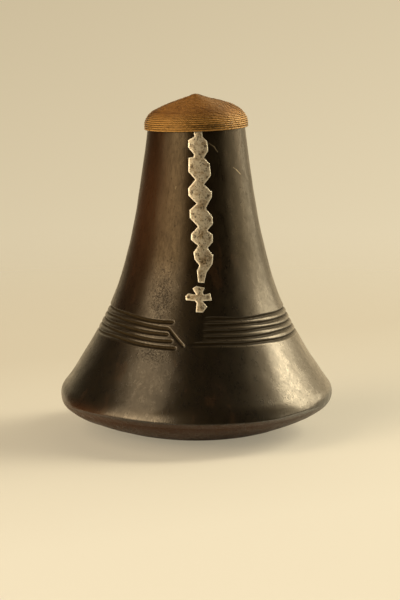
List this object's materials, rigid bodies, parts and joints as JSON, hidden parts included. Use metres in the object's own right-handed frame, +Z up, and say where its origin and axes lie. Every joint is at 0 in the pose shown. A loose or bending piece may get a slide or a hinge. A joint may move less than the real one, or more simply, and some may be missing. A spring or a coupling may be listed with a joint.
{
  "type": "butter container",
  "caption": "Bell-shaped wooden butter container with a narrow neck, a coiled basketry cap that lifts off, a carved band and pinned sheet-metal inlay.",
  "frame": {"origin": "centre of the base, on the surface it stands on", "axes": "+Z up along the neck, -Y towards the front with the inlay, +X to the right seen from the front"},
  "size_m": [0.237, 0.237, 0.2946],
  "materials": {
    "vessel_wood": "blackened, oiled and hand-polished, semi-gloss",
    "coiled_basketry": "coiled plant fibre, matt with a dry sheen",
    "inlay_metal": "hand-cut sheet, dulled and pitted, edges rubbed bright",
    "pin_metal": "hammered pin ends, dull"
  },
  "bodies": {
    "vessel": {"vessel_body": "vessel_wood", "inlay_chain": "inlay_metal", "inlay_cross": "inlay_metal", "chain_pin_1_left": "pin_metal", "chain_pin_1_right": "pin_metal", "chain_pin_2_left": "pin_metal", "chain_pin_2_right": "pin_metal", "chain_pin_3_left": "pin_metal", "chain_pin_3_right": "pin_metal", "chain_pin_4_left": "pin_metal", "chain_pin_4_right": "pin_metal", "chain_pin_5_left": "pin_metal", "chain_pin_5_right": "pin_metal", "chain_pin_6_left": "pin_metal", "chain_pin_6_right": "pin_metal", "chain_pin_tail": "pin_metal", "cross_pin_left": "pin_metal", "cross_pin_right": "pin_metal", "cross_pin_top": "pin_metal", "cross_pin_bottom": "pin_metal"},
    "cap": {"basket_lid": "coiled_basketry"}
  },
  "joints": [
    {"name": "cap_lift", "type": "slide", "parent": "vessel", "child": "cap", "axis": [0, 0, 1], "range_m": [0, 0.08]}
  ]
}
